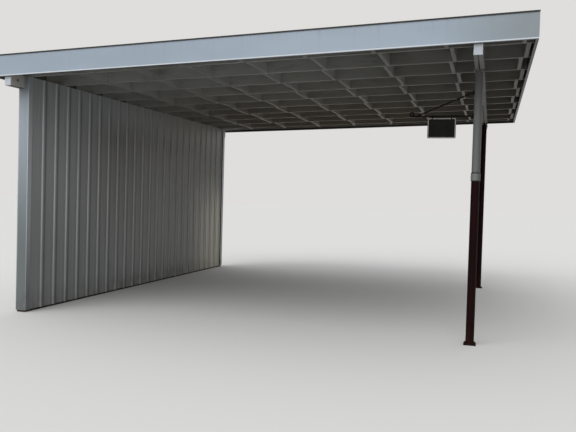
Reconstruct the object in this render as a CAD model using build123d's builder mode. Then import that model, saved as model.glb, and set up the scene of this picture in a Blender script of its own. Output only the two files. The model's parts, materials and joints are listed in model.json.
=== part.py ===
"""Open carport: a low shed roof on one ribbed steel wall and two tube posts, in millimetres.

X runs from the wall to the posts, Y from front to rear and Z up.
The origin is level with the sill's underside, at the middle of the roof's outline.
"""

import os
from math import hypot

from build123d import *

# Timber sections
lumber_thickness = 38.0
rafter_depth = 184.0
beam_depth = 140.0
beam_ply = 35.0
beam_gap = 8.0
framing_depth = 102.0

# Roof layout
rafter_count = 10
rafter_pitch = 609.6
eave_overhang = 304.8
roof_slope = 0.0279
headroom = 2715.0
left_eave = 156.0
house_overhang = 491.0
blocking_rows = 8
blocking_inset = 60.0
blocking_wall_gap = 580.0
blocking_stagger = 22.0

# Roof covering and edges
deck_thickness = 12.0
roofing_thickness = 4.0
fascia_thickness = 20.0
fascia_drop = 40.0
lip_projection = 5.0
lip_height = 8.0
drip_thickness = 2.0
drip_face = 10.0
drip_top = 60.0

# Wall
sheet_thickness = 1.2
rib_height = 16.0
rib_pitch = 228.6
rib_base = 46.0
rib_crest = 28.0
minor_height = 1.6
minor_base = 30.0
minor_crest = 14.0
pitches_a_panel = 8
panels = 3
panel_gap = 1.0
ground_gap = 20.0
sheet_clearance = 3.0
front_corner = 54.0
rear_corner = 125.0
cap_lap = 8.0
rear_cap_leg = 78.0
cap_clearance = 0.3
girt_rows = 2

# Posts
post_offset = 4929.0
front_post_setback = 424.0
post_spacing = 4480.0
tube_radius = 41.3
tube_wall = 4.0
base_size = 120.0
base_thickness = 8.0
anchor_spacing = 90.0
anchor_radius = 6.0
cap_length = 150.0
cap_width = 100.0
collar_bottom = 1625.0
collar_height = 80.0
collar_wall = 5.0
collar_clearance = 0.2
spacer_length = 150.0
end_spacer_length = 250.0

# Sign and its bracket
bar_drop = 446.0
bar_radius = 8.0
bar_reach = 642.0
scroll_radius = 19.0
scroll_end_radius = 10.5
strut_radius = 7.0
strut_foot = 602.0
strut_rise = 231.0
pad_width = 34.0
pad_height = 44.0
pad_thickness = 9.0
pad_clearance = 0.2
sign_width = 279.0
sign_height = 203.0
sign_thickness = 3.0
sign_corner = 12.0
sign_drop = 16.0
sign_offset = 345.0
hanger_spacing = 190.0
hanger_width = 10.0
hanger_wall = 4.0
hanger_clearance = 0.8
tongue_thickness = 3.0
tongue_overlap = 22.0
rivet_radius = 3.0
rivet_head = 6.0
rivet_clearance = 0.2

# Places that follow from the sizes above
wall_length = rafter_pitch * (rafter_count - 1)
wall_thickness = framing_depth + 2 * rib_height
roof_width = left_eave + wall_thickness + post_offset + house_overhang
roof_depth = wall_length + 2 * eave_overhang
roof_left = -roof_width / 2
roof_right = roof_width / 2
roof_front = -roof_depth / 2
roof_rear = roof_depth / 2
wall_outer = roof_left + left_eave
wall_inner = wall_outer + wall_thickness
frame_outer = wall_outer + rib_height
frame_inner = wall_inner - rib_height
wall_front = -wall_length / 2
wall_rear = wall_length / 2
frame_front = wall_front - front_corner
frame_rear = wall_rear + rear_corner
beam_width = beam_gap + 2 * beam_ply
left_beam_x = wall_outer + beam_width / 2
post_x = wall_inner + post_offset
front_post_y = wall_front + front_post_setback
rear_post_y = front_post_y + post_spacing
inner_front = roof_front + fascia_thickness
inner_rear = roof_rear - fascia_thickness
inner_left = roof_left + fascia_thickness
inner_right = roof_right - fascia_thickness
slope_length = hypot(1.0, roof_slope)

os.makedirs("parts", exist_ok=True)


def underside(x):
    """Height of the rafters' lower edge at x."""
    return headroom + roof_slope * (x - wall_inner)


def finish(piece, label):
    """Name a finished piece and write its file."""
    piece.part.label = label
    export_step(piece.part, f"parts/{label}.step")


def sloping(x_low, x_high, lift, depth):
    """Side outline of a board that follows the roof and is cut plumb at both ends."""
    return [
        (x_low, underside(x_low) + lift),
        (x_high, underside(x_high) + lift),
        (x_high, underside(x_high) + lift + depth),
        (x_low, underside(x_low) + lift + depth),
    ]


def side_prism(outline, y_low, y_high):
    """Add a solid with this outline in X and Z, from y_low to y_high."""
    with BuildSketch(Plane.XZ.offset(-y_high)) as section:
        with BuildLine():
            Polyline(*outline, close=True)
        make_face()
    extrude(section.sketch, amount=y_high - y_low)


def block(x_low, x_high, y_low, y_high, z_low, z_high):
    """Add a square-cut board."""
    side_prism([(x_low, z_low), (x_high, z_low), (x_high, z_high), (x_low, z_high)], y_low, y_high)


# Rafters run from the left edge to the right, with a rim board along the front and the rear
rafter_places = [wall_front + rafter_pitch * k for k in range(rafter_count)]
board = sloping(inner_left, inner_right, 0.0, rafter_depth)
half = lumber_thickness / 2

for number, y in enumerate(rafter_places, start=1):
    with BuildPart() as rafter:
        side_prism(board, y - half, y + half)
    finish(rafter, f"rafter_{number:02d}")

with BuildPart() as front_rim:
    side_prism(board, inner_front, inner_front + lumber_thickness)
finish(front_rim, "front_rim")

with BuildPart() as rear_rim:
    side_prism(board, inner_rear - lumber_thickness, inner_rear)
finish(rear_rim, "rear_rim")

# Blocking: short boards between the rafters, every other one set back so that it can be nailed
first_row_x = inner_right - blocking_inset
last_row_x = wall_inner + blocking_wall_gap
blocking_pitch = (first_row_x - last_row_x) / (blocking_rows - 1)
bay_starts = [inner_front + lumber_thickness] + [y + half for y in rafter_places]
bay_ends = [y - half for y in rafter_places] + [inner_rear - lumber_thickness]

for row in range(blocking_rows):
    row_x = first_row_x - row * blocking_pitch
    with BuildPart() as blocking:
        for bay, (start, end) in enumerate(zip(bay_starts, bay_ends)):
            x = row_x + (blocking_stagger if bay % 2 else -blocking_stagger)
            side_prism(sloping(x - half, x + half, 0.0, rafter_depth), start, end)
    finish(blocking, f"blocking_row_{row + 1}")

# Deck and roofing
with BuildPart() as roof_deck:
    side_prism(sloping(inner_left, inner_right, rafter_depth, deck_thickness), inner_front, inner_rear)
finish(roof_deck, "roof_deck")

roofing_lift = rafter_depth + deck_thickness
with BuildPart() as roofing:
    side_prism(sloping(roof_left, roof_right, roofing_lift, roofing_thickness), roof_front, roof_rear)
finish(roofing, "roofing")


def fascia_outline(face, outward, low, top):
    """Section of a fascia: its outer face, which way is out, its foot and its top edge as a function."""
    inner = face - outward * fascia_thickness
    lip = face + outward * lip_projection
    return [
        (inner, low),
        (lip, low),
        (lip, low + lip_height),
        (face, low + lip_height + lip_projection),
        (face, top(face)),
        (inner, top(inner)),
    ]


def eave_fascia(face, outward):
    """Fascia along the front or the rear, which climbs with the roof."""
    start = roof_left - lip_projection
    low = underside(start) - fascia_drop
    top = underside(start) + roofing_lift
    with BuildSketch(Plane.YZ.offset(start)) as section:
        with BuildLine():
            Polyline(*fascia_outline(face, outward, low, lambda y: top), close=True)
        make_face()
    run = roof_width + 2 * lip_projection
    extrude(section.sketch, amount=run * slope_length, dir=(1, 0, roof_slope))


def side_fascia(face, outward):
    """Level fascia along the left or the right side, between the other two."""
    low = underside(face) - fascia_drop
    outline = fascia_outline(face, outward, low, lambda x: underside(x) + roofing_lift)
    side_prism(outline, inner_front, inner_rear)


with BuildPart() as front_fascia:
    eave_fascia(roof_front, -1)
finish(front_fascia, "front_fascia")

with BuildPart() as rear_fascia:
    eave_fascia(roof_rear, 1)
finish(rear_fascia, "rear_fascia")

with BuildPart() as left_fascia:
    side_fascia(roof_left, -1)
finish(left_fascia, "left_fascia")

with BuildPart() as right_fascia:
    side_fascia(roof_right, 1)
finish(right_fascia, "right_fascia")

# Metal drip edge: a flange on the roofing and a narrow face that hangs clear of each fascia
flange = roofing_lift + roofing_thickness
drip_reach = lip_projection + drip_thickness
drip_left = roof_left - drip_reach
drip_right = roof_right + drip_reach
drip_front = roof_front - drip_reach
drip_rear = roof_rear + drip_reach


def drip_strip(x_low, x_high, y_low, y_high, hang=0.0):
    """One strip of the drip edge on the roof's slope, hanging this far below the flange."""
    strip = sloping(x_low, x_high, flange - hang, drip_thickness + hang)
    side_prism(strip, y_low, y_high)


with BuildPart() as drip_edge:
    drip_strip(drip_left, drip_right, drip_front, roof_front + drip_top)
    drip_strip(drip_left, drip_right, roof_rear - drip_top, drip_rear)
    drip_strip(drip_left, roof_left + drip_top, drip_front, drip_rear)
    drip_strip(roof_right - drip_top, drip_right, drip_front, drip_rear)
    drip_strip(drip_left, drip_right, drip_front, drip_front + drip_thickness, drip_face)
    drip_strip(drip_left, drip_right, drip_rear - drip_thickness, drip_rear, drip_face)
    drip_strip(drip_left, drip_left + drip_thickness, drip_front, drip_rear, drip_face)
    drip_strip(drip_right - drip_thickness, drip_right, drip_front, drip_rear, drip_face)
finish(drip_edge, "drip_edge")


def beam(middle):
    """Two plies with spacers between them, topped to the roof's slope, from front fascia to rear."""
    low = underside(middle) - beam_depth
    outer = beam_width / 2
    for near, far in ((-outer, -beam_gap / 2), (beam_gap / 2, outer)):
        x_low = middle + near
        x_high = middle + far
        ply = [(x_low, low), (x_high, low), (x_high, underside(x_high)), (x_low, underside(x_low))]
        side_prism(ply, inner_front, inner_rear)
    spacer = sloping(middle - beam_gap / 2, middle + beam_gap / 2, -beam_depth / 2, beam_depth / 2)
    spacer[0] = (spacer[0][0], low)
    spacer[1] = (spacer[1][0], low)
    side_prism(spacer, inner_front, inner_front + end_spacer_length)
    side_prism(spacer, inner_rear - end_spacer_length, inner_rear)
    middle_y = (front_post_y + rear_post_y) / 2
    for y in (front_post_y, middle_y, rear_post_y):
        side_prism(spacer, y - spacer_length / 2, y + spacer_length / 2)


with BuildPart() as left_beam:
    beam(left_beam_x)
finish(left_beam, "left_beam")

with BuildPart() as right_beam:
    beam(post_x)
finish(right_beam, "right_beam")

# Wall frame, a little longer than the sheets at both ends
beam_seat = underside(left_beam_x) - beam_depth
top_plate_bottom = beam_seat - 2 * lumber_thickness

with BuildPart() as sill_plate:
    block(frame_outer, frame_inner, frame_front, frame_rear, 0.0, lumber_thickness)
finish(sill_plate, "sill_plate")

with BuildPart() as top_plate:
    block(frame_outer, frame_inner, frame_front, frame_rear, top_plate_bottom, beam_seat)
finish(top_plate, "top_plate")

stud_places = [frame_front + half] + rafter_places[1:-1] + [frame_rear - half]
with BuildPart() as wall_studs:
    for y in stud_places:
        block(frame_outer, frame_inner, y - half, y + half, lumber_thickness, top_plate_bottom)
finish(wall_studs, "wall_studs")

girt_pitch = (top_plate_bottom - lumber_thickness) / (girt_rows + 1)
with BuildPart() as wall_girts:
    for row in range(1, girt_rows + 1):
        z = lumber_thickness + row * girt_pitch
        for near, far in zip(stud_places, stud_places[1:]):
            block(frame_outer, frame_inner, near + half, far - half, z - half, z + half)
finish(wall_girts, "wall_girts")


def rib_line(start):
    """One pitch of the sheet, from rib to rib, as place along the wall and height above the pan."""
    end = start + rib_pitch
    crest = rib_height - sheet_thickness
    points = [(start + rib_crest / 2, crest), (start + rib_base / 2, 0.0)]
    for centre in (start + rib_pitch / 3, start + rib_pitch * 2 / 3):
        points.append((centre - minor_base / 2, 0.0))
        points.append((centre - minor_crest / 2, minor_height))
        points.append((centre + minor_crest / 2, minor_height))
        points.append((centre + minor_base / 2, 0.0))
    points += [(end - rib_base / 2, 0.0), (end - rib_crest / 2, crest)]
    return points


def cladding(pan, outward, top):
    """Three ribbed sheets side by side on one face of the frame, up to this height."""
    for panel in range(panels):
        start = wall_front + panel * pitches_a_panel * rib_pitch
        end = start + pitches_a_panel * rib_pitch
        crest = rib_height - sheet_thickness
        line = [(start + panel_gap / 2, crest)]
        for pitch in range(pitches_a_panel):
            line += rib_line(start + pitch * rib_pitch)
        line.append((end - panel_gap / 2, crest))
        back = [(pan + outward * height, y) for y, height in line]
        front = [(x + outward * sheet_thickness, y) for x, y in reversed(back)]
        with BuildSketch(Plane.XY.offset(ground_gap)) as section:
            with BuildLine():
                Polyline(*back, *front, close=True)
            make_face()
        extrude(section.sketch, amount=top - ground_gap)


with BuildPart() as inner_cladding:
    cladding(frame_inner, 1, underside(frame_inner) - sheet_clearance)
finish(inner_cladding, "inner_cladding")

with BuildPart() as outer_cladding:
    cladding(frame_outer, -1, beam_seat - sheet_clearance)
finish(outer_cladding, "outer_cladding")


def end_cap(end, outward, outer_leg, inner_leg):
    """Folded channel over one end of the wall, notched round the beam."""
    outer = wall_outer - cap_clearance
    inner = wall_inner + cap_clearance
    top = underside(wall_outer) - sheet_clearance
    face = end + outward * sheet_thickness
    block(outer - sheet_thickness, inner + sheet_thickness, min(end, face), max(end, face), ground_gap, top)
    outer_end = end - outward * outer_leg
    block(outer - sheet_thickness, outer, min(outer_end, face), max(outer_end, face), ground_gap, top)
    inner_end = end - outward * inner_leg
    block(inner, inner + sheet_thickness, min(inner_end, face), max(inner_end, face), ground_gap, top)
    notch = beam_width + 2 * cap_clearance
    with BuildSketch(Plane.XZ.offset(-max(end, face))) as opening:
        with Locations((left_beam_x, (beam_seat + top) / 2)):
            Rectangle(notch, top - beam_seat)
    extrude(opening.sketch, amount=sheet_thickness, mode=Mode.SUBTRACT)


with BuildPart() as front_end_cap:
    end_cap(frame_front, -1, front_corner + cap_lap, front_corner + cap_lap)
finish(front_end_cap, "front_end_cap")

with BuildPart() as rear_end_cap:
    end_cap(frame_rear, 1, rear_corner + cap_lap, rear_cap_leg)
finish(rear_end_cap, "rear_end_cap")

# Posts
post_top = underside(post_x) - beam_depth
tube_top = post_top - base_thickness
collar_middle = collar_bottom + collar_height / 2


def tube(y, low, high):
    """Add a length of post tube."""
    with BuildSketch(Plane.XY.offset(low)) as ring:
        with Locations((post_x, y)):
            Circle(tube_radius)
            Circle(tube_radius - tube_wall, mode=Mode.SUBTRACT)
    extrude(ring.sketch, amount=high - low)


def base_plate(y):
    """Add a square foot with four anchor holes."""
    with BuildSketch(Plane.XY) as foot:
        with Locations((post_x, y)):
            Rectangle(base_size, base_size)
            with GridLocations(anchor_spacing, anchor_spacing, 2, 2):
                Circle(anchor_radius, mode=Mode.SUBTRACT)
    extrude(foot.sketch, amount=base_thickness)


def cap_plate(y):
    """Add the plate that the beam sits on."""
    with BuildSketch(Plane.XY.offset(tube_top)) as seat:
        with Locations((post_x, y)):
            Rectangle(cap_width, cap_length)
    extrude(seat.sketch, amount=base_thickness)


with BuildPart() as front_post_lower:
    base_plate(front_post_y)
    tube(front_post_y, base_thickness, collar_middle)
finish(front_post_lower, "front_post_lower")

with BuildPart() as front_post_upper:
    tube(front_post_y, collar_middle, tube_top)
    cap_plate(front_post_y)
finish(front_post_upper, "front_post_upper")

with BuildPart() as front_post_collar:
    with BuildSketch(Plane.XY.offset(collar_bottom)):
        with Locations((post_x, front_post_y)):
            Circle(tube_radius + collar_clearance + collar_wall)
            Circle(tube_radius + collar_clearance, mode=Mode.SUBTRACT)
    extrude(amount=collar_height)
finish(front_post_collar, "front_post_collar")

with BuildPart() as rear_post:
    base_plate(rear_post_y)
    tube(rear_post_y, base_thickness, tube_top)
    cap_plate(rear_post_y)
finish(rear_post, "rear_post")

# Wrought bracket on the front post: a bar that ends in a scroll, and a strut up to the post
bar_height = post_top - bar_drop
pad_face = post_x - tube_radius - pad_clearance - pad_thickness
scroll_x = post_x - bar_reach
strut_low = (post_x - strut_foot, bar_height)
strut_high = (pad_face, bar_height + strut_rise)

with BuildPart() as sign_bracket:
    for z in (bar_height, bar_height + strut_rise):
        with BuildSketch(Plane.YZ.offset(pad_face)):
            with Locations((front_post_y, z)):
                RectangleRounded(pad_width, pad_height, pad_width / 4)
        extrude(amount=pad_thickness + tube_radius / 2)
    with BuildSketch(Plane.XY.offset(bar_height - pad_height)):
        with Locations((post_x, front_post_y)):
            Circle(tube_radius + pad_clearance)
    extrude(amount=strut_rise + 2 * pad_height, mode=Mode.SUBTRACT)

    with BuildLine(Plane.XZ.offset(-front_post_y)):
        bar = Line((pad_face, bar_height), (scroll_x, bar_height))
        curl = JernArc(bar @ 1, bar % 1, scroll_radius, -270)
        JernArc(curl @ 1, curl % 1, scroll_end_radius, -110)
    with BuildSketch(Plane.YZ.offset(pad_face)):
        with Locations((front_post_y, bar_height)):
            Circle(bar_radius)
    sweep()

    strut = Line((strut_low[0], front_post_y, strut_low[1]), (strut_high[0], front_post_y, strut_high[1]))
    with BuildSketch(Plane(origin=strut @ 0, z_dir=strut % 0)):
        Circle(strut_radius)
    extrude(amount=strut.length + pad_thickness / 2)
finish(sign_bracket, "sign_bracket")

# Blank sign plate, hung from the bar by two strap loops
sign_x = post_x - sign_offset
sign_top = bar_height - sign_drop
hanger_places = (sign_x - hanger_spacing / 2, sign_x + hanger_spacing / 2)
rivet_height = sign_top - tongue_overlap / 2
plate_front = front_post_y - sign_thickness / 2
plate_back = front_post_y + sign_thickness / 2

with BuildPart() as sign_plate:
    with BuildSketch(Plane.XZ.offset(-plate_back)):
        with Locations((sign_x, sign_top - sign_height / 2)):
            RectangleRounded(sign_width, sign_height, sign_corner)
        with Locations(*[(x, rivet_height) for x in hanger_places]):
            Circle(rivet_radius + rivet_clearance, mode=Mode.SUBTRACT)
    extrude(amount=sign_thickness)
finish(sign_plate, "sign_plate")

loop_inner = bar_radius + hanger_clearance
tongue_low = sign_top - tongue_overlap
with BuildPart() as sign_hangers:
    for x in hanger_places:
        with BuildSketch(Plane.YZ.offset(x - hanger_width / 2)):
            with Locations((front_post_y, bar_height)):
                Circle(loop_inner + hanger_wall)
            with BuildLine():
                Polyline(
                    (plate_front - tongue_thickness, bar_height),
                    (plate_front, bar_height),
                    (plate_front, tongue_low),
                    (plate_front - tongue_thickness, tongue_low),
                    close=True,
                )
            make_face()
            with Locations((front_post_y, bar_height)):
                Circle(loop_inner, mode=Mode.SUBTRACT)
        extrude(amount=hanger_width)
        with BuildSketch(Plane.XZ.offset(-plate_back)):
            with Locations((x, rivet_height)):
                Circle(rivet_radius)
        extrude(amount=sign_thickness)
        with BuildSketch(Plane.XZ.offset(-plate_back - tongue_thickness)):
            with Locations((x, rivet_height)):
                Circle(rivet_head)
        extrude(amount=tongue_thickness)
finish(sign_hangers, "sign_hangers")
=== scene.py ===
"""Looks of an open carport: a low shed roof on one ribbed steel wall and two tube posts.

Metres, in the part's own frame: X from the wall to the posts, Y from front to rear, Z up.
"""

import json
import math

import bpy
import numpy as np
from mathutils import Matrix, Vector


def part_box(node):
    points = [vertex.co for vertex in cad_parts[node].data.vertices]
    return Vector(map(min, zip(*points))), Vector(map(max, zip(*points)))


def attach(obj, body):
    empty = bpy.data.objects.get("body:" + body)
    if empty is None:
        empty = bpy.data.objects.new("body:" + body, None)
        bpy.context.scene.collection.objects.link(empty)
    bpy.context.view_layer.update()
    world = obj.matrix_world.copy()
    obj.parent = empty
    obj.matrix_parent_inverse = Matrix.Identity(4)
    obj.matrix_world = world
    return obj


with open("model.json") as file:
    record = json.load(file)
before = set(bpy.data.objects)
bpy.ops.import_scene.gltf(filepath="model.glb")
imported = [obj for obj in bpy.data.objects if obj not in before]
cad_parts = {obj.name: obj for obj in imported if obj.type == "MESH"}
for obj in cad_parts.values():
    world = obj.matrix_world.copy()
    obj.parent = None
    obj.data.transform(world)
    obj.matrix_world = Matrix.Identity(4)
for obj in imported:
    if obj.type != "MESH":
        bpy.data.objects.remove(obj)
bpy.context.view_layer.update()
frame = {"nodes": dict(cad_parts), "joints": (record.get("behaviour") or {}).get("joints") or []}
nodes = frame["nodes"]

# Camera, from a fit to the edges in the photograph
IMAGE_WIDTH = 576
FOCAL_PIXELS = 643.35
SENSOR_WIDTH = 36.0
EYE = (2.521, -8.948, 1.418)
YAW = 0.3053
PITCH = 0.0298
ROLL = -0.0283

# Sizes that the boxes of the frame's nodes don't give
ROOF_SLOPE = 0.0279
ROOF_BUILD_UP = 0.200
ROOFING = 0.004
COURSE = 0.84
FASCIA = 0.020
FASCIA_DROP = 0.040
LIP = 0.005
LIP_TOP = 0.0135
WRAP_LENGTH = 3.658
DRIP_HANG = 0.010
DRIP_TOP = 0.060
RAFTERS = 10
RAFTER_PITCH = 0.6096
BLOCKING_ROWS = 8
HALF_BOARD = 0.019
HALF_BEAM = 0.070
RIBS = 24
RIB_PITCH = 0.2286
RIB_HEIGHT = 0.016
SHEET = 0.0012
PANEL = 8 * RIB_PITCH
CAP_EDGE = 0.018
TUBE_RADIUS = 0.0413
PLATE = 0.008
PAD = 0.0092
STRUT_FOOT = 0.602
STRUT_RISE = 0.231
SIGN_CORNER = 0.012


def make_camera():
    """Camera at EYE, turned left by YAW, down by PITCH and about its own axis by ROLL."""
    level_share = math.cos(PITCH)
    ahead = np.array([-math.sin(YAW) * level_share, math.cos(YAW) * level_share, -math.sin(PITCH)])
    level = np.array([math.cos(YAW), math.sin(YAW), 0.0])
    down = np.cross(ahead, level)
    right = math.cos(ROLL) * level + math.sin(ROLL) * down
    drop = math.cos(ROLL) * down - math.sin(ROLL) * level
    turn = Matrix(np.array([right, -drop, -ahead]).T.tolist())
    data = bpy.data.cameras.new("camera")
    data.sensor_width = SENSOR_WIDTH
    data.lens = FOCAL_PIXELS / IMAGE_WIDTH * SENSOR_WIDTH
    data.clip_end = 400.0
    camera = bpy.data.objects.new("camera", data)
    camera.matrix_world = Matrix.Translation(Vector(EYE)) @ turn.to_4x4()
    bpy.context.scene.collection.objects.link(camera)
    bpy.context.scene.camera = camera


# Sizes read from the frame


def corner(node, high=False):
    """Low or high corner of a node's box."""
    return np.array(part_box(node)[1 if high else 0])


def middle(node):
    """Middle of a node's box."""
    return (corner(node) + corner(node, True)) / 2


def rafter_foot(x):
    """Height of the rafters' lower edge: their low end plus the slope times the way along."""
    return eave_foot[2] + ROOF_SLOPE * (x - eave_foot[0])


eave_foot = corner("rafter_01")
foot_at_origin = rafter_foot(0.0)
roof_low = corner("roofing")
roof_high = corner("roofing", True)
wall_front = corner("inner_cladding")[1]
wall_outer = corner("outer_cladding")[0]
wall_inner = corner("inner_cladding", True)[0]
inner_pan = corner("inner_cladding")[0] + SHEET
outer_pan = corner("outer_cladding", True)[0] - SHEET
sheet_foot = corner("inner_cladding")[2]
sheet_top = corner("inner_cladding", True)[2]
outer_top = corner("outer_cladding", True)[2]
rafter_y = np.array([middle(f"rafter_{number:02d}")[1] for number in range(1, RAFTERS + 1)])
left_beam_x = middle("left_beam")[0]
left_beam_foot = corner("left_beam")[2]
post_x, front_post_y, collar_z = middle("front_post_collar")
rear_post_y = middle("rear_post")[1]


# Shader maths


class Signal:
    """A shader socket that adds its own Math nodes when it stands in an expression."""

    def __init__(self, wiring, socket):
        self.wiring = wiring
        self.socket = socket

    def math(self, operation, *others):
        """Math node of this operation on the signal and the others after it."""
        values = dict(enumerate((self, *others)))
        return self.wiring.node("ShaderNodeMath", {"operation": operation}, values)

    def __add__(self, other):
        return self.math("ADD", other)

    __radd__ = __add__

    def __sub__(self, other):
        return self.math("SUBTRACT", other)

    def __rsub__(self, other):
        return self.wiring.node("ShaderNodeMath", {"operation": "SUBTRACT"}, {0: other, 1: self})

    def __mul__(self, other):
        return self.math("MULTIPLY", other)

    __rmul__ = __mul__

    def __truediv__(self, other):
        return self.math("DIVIDE", other)

    def __pow__(self, other):
        return self.math("POWER", other)

    def __abs__(self):
        return self.math("ABSOLUTE")

    def floor(self):
        return self.math("FLOOR")

    def most(self, other):
        """The greater of the two."""
        return self.math("MAXIMUM", other)

    def least(self, other):
        """The smaller of the two."""
        return self.math("MINIMUM", other)

    def clamp(self):
        """Held between 0 and 1."""
        return self.wiring.node("ShaderNodeClamp", {}, {"Value": self})

    def step(self, low, high):
        """0 at low, 1 at high and smooth between, whichever of the two is greater."""
        values = {"Value": self, "From Min": low, "From Max": high}
        settings = {"interpolation_type": "SMOOTHSTEP"}
        return self.wiring.node("ShaderNodeMapRange", settings, values)

    def wrap(self, period):
        """Signed distance from the nearest multiple of the period."""
        return self.math("WRAP", period / 2, -period / 2)

    def off(self, period, centre=0.0):
        """Distance from the nearest of a row of lines at this period, one of which is at centre."""
        return abs((self - centre).wrap(period))


class Wiring:
    """A node tree, and the one method that adds a node to it."""

    def __init__(self, tree):
        self.tree = tree
        tree.nodes.clear()

    def node(self, kind, settings=None, values=None, output=0):
        """A node, with its settings made before the numbers, colours or signals of its sockets."""
        made = self.tree.nodes.new(kind)
        for key, value in (settings or {}).items():
            setattr(made, key, value)
        for key, value in (values or {}).items():
            if isinstance(value, Signal):
                self.tree.links.new(value.socket, made.inputs[key])
            else:
                made.inputs[key].default_value = value
        return Signal(self, made.outputs[output]) if made.outputs else None

    def part(self, vector, axis):
        """One axis of a vector signal."""
        return self.node("ShaderNodeSeparateXYZ", {}, {0: vector}, axis)

    def mix(self, share, low, high):
        """Colour between low and high."""
        return self.node("ShaderNodeMix", {"data_type": "RGBA"}, {0: share, 6: low, 7: high}, 2)

    def seen(self):
        """1 for rays from the camera, straight or by a mirror or a pane, and 0 for the others."""
        camera, glossy, through = (self.node("ShaderNodeLightPath", output=f"Is {kind} Ray")
                                   for kind in ("Camera", "Glossy", "Transmission"))
        return (camera + glossy + through).clamp()


class Finish(Wiring):
    """One procedural material on the piece's own coordinates, in metres."""

    def __init__(self, name):
        self.material = bpy.data.materials.new(name)
        self.material.use_nodes = True
        super().__init__(self.material.node_tree)
        self.place = self.node("ShaderNodeTexCoord", output="Object")
        self.x, self.y, self.z = (self.part(self.place, axis) for axis in "XYZ")

    def spot(self, stretch, shift=(0.0, 0.0, 0.0)):
        """The place on the piece, stretched by one number or by one for each axis, and shifted."""
        scale = stretch if isinstance(stretch, tuple) else (stretch, stretch, stretch)
        values = {"Vector": self.place, "Scale": scale, "Location": shift}
        return self.node("ShaderNodeMapping", {}, values)

    def noise(self, stretch, detail=3.0, roughness=0.55, shift=(0.0, 0.0, 0.0)):
        """Clouds from 0 to 1, with this many to the metre, all ways or along X, Y and Z."""
        values = {"Vector": self.spot(stretch, shift), "Scale": 1.0}
        values.update({"Detail": detail, "Roughness": roughness})
        return self.node("ShaderNodeTexNoise", {}, values)

    def specks(self, stretch, share):
        """1 inside small spots of uneven size, round scattered points, and 0 elsewhere."""
        values = {"Vector": self.spot(stretch), "Scale": 1.0}
        near = self.node("ShaderNodeTexVoronoi", {}, values, "Distance")
        own = self.node("ShaderNodeTexVoronoi", {}, values, "Color")
        return (self.part(own, "X") * share - near).step(0.0, 0.06)

    def over_rafters(self):
        """Height above the rafters' sloping lower edges."""
        return self.z - self.x * ROOF_SLOPE - foot_at_origin

    def brown_share(self):
        """How browned the wood under the roof is: more towards the rear, less over the wall."""
        return self.y.step(-2.6, 2.0) * (1.0 - 0.5 * self.x.step(-1.4, -2.4)) * 0.8

    def bump(self, height, distance, under=None):
        """Surface direction from a height of 0 to 1 that stands for this distance in metres."""
        values = {"Height": height, "Distance": distance, "Strength": 1.0}
        if under is not None:
            values["Normal"] = under
        return self.node("ShaderNodeBump", {}, values)

    def surface(self, colour, roughness, normal=None, metallic=0.0, specular=0.5):
        """Close the material with one surface."""
        values = {"Base Color": colour, "Roughness": roughness, "Metallic": metallic}
        values["Specular IOR Level"] = specular
        if normal is not None:
            values["Normal"] = normal
        shader = self.node("ShaderNodeBsdfPrincipled", {}, values)
        self.node("ShaderNodeOutputMaterial", {}, {"Surface": shader})
        return self.material


def tone(*screen):
    """A colour as it reads on a screen, from 0 to 255, made linear.

    A part up to 0.04045 is divided by 12.92, and a greater one is ((part + 0.055) / 1.055) ** 2.4.
    """
    parts = np.array(screen) / 255
    linear = np.where(parts <= 0.04045, parts / 12.92, ((parts + 0.055) / 1.055) ** 2.4)
    return (*linear.tolist(), 1.0)


# Finishes


def fascia_finish():
    """White metal wrap: faint clouds, streaks down from the drip edge, a painted highlight on the
    lip, near-black painted shade on the underside, painted shade past the posts.

    The side that faces the rafters is bare of the wrap and carries the same near-black painted
    shade, paler over the wall.
    """
    f = Finish("fascia_white")
    lift = f.over_rafters()
    clouds = f.noise((0.7, 0.7, 2.0), shift=(3.1, 0.0, 0.0))
    streaks = f.noise((26.0, 26.0, 1.1), detail=4.0)
    run_off = streaks.step(0.52, 0.74) * (0.25 + 0.75 * lift.step(0.02, 0.19))
    base = f.mix(clouds.step(0.35, 0.65), tone(180, 195, 210), tone(188, 203, 218))
    # Painted shade: greyer past the posts, towards the far end of the roof.
    shaded_far_side = f.mix(f.x.step(1.9, 2.86) * 0.6, base, tone(146, 152, 150))
    streaked = f.mix(run_off * 0.16, shaded_far_side, tone(150, 156, 160))
    lip_edge = LIP_TOP - FASCIA_DROP
    # Painted highlight: the lip's band along the fascia's foot is painted near white.
    highlighted = f.mix(lift.step(lip_edge + 0.001, lip_edge - 0.001), streaked, tone(228, 234, 240))
    inner_x, inner_y = roof_high[:2] - FASCIA
    inside = (abs(f.x) - inner_x).most(abs(f.y) - inner_y).step(0.0006, 0.0002)
    # Painted shade: the underside and the faces towards the rafters are painted near black, paler
    # over the wall.
    shaded_faces = lift.step(0.0014 - FASCIA_DROP, 0.0002 - FASCIA_DROP).most(inside)
    over_wall = inside * f.x.step(-2.4, -2.6)
    bare_and_shaded = f.mix(over_wall, tone(26, 25, 24), tone(104, 101, 95))
    colour = f.mix(shaded_faces, highlighted, bare_and_shaded)
    fine = f.noise(140.0, detail=2.0)
    waves = f.bump(f.noise((1.6, 1.6, 4.5), detail=1.0), 0.004)
    return f.surface(colour, 0.42 + 0.16 * run_off, f.bump(fine, 0.0002, waves))


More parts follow.
